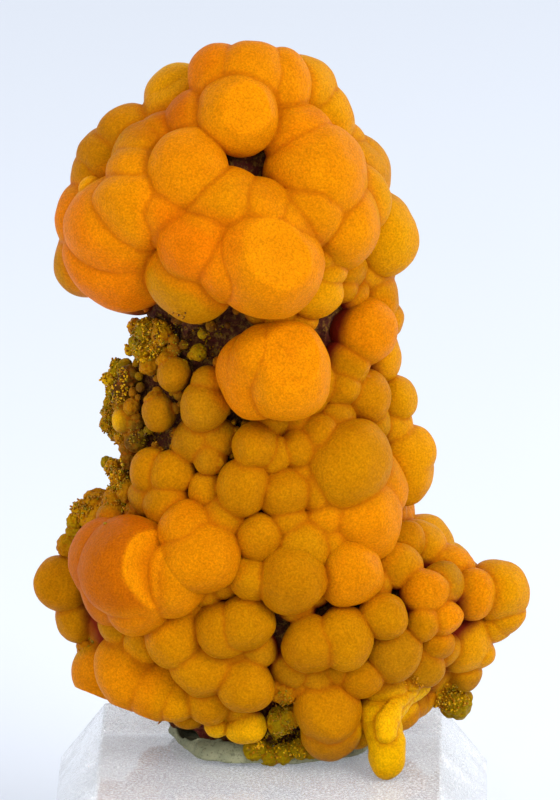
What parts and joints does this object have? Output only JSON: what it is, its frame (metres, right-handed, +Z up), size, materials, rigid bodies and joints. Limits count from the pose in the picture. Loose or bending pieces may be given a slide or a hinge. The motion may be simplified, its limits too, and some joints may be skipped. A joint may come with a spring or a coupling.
{
  "type": "mineral specimen on display block",
  "caption": "Grape-like orange mimetite crust grown over a column of dark gossan rock, fixed with putty on a clear bevelled acrylic block.",
  "frame": {"origin": "centre of the block's underside", "axes": "+Z up along the specimen, +X to the right in the display view, +Y away from the viewer"},
  "size_m": [0.0506, 0.044, 0.0944],
  "materials": {
    "acrylic": "polished clear acrylic",
    "putty": "matt grey-green mounting putty, pressed by hand",
    "gossan": "rough pitted iron-stained rock",
    "mimetite": "waxy to resinous globules with a fine crystalline skin"
  },
  "bodies": {
    "root": {"acrylic_block": "acrylic", "mounting_putty": "putty", "gossan_matrix": "gossan", "mimetite_crust": "mimetite"}
  },
  "joints": []
}
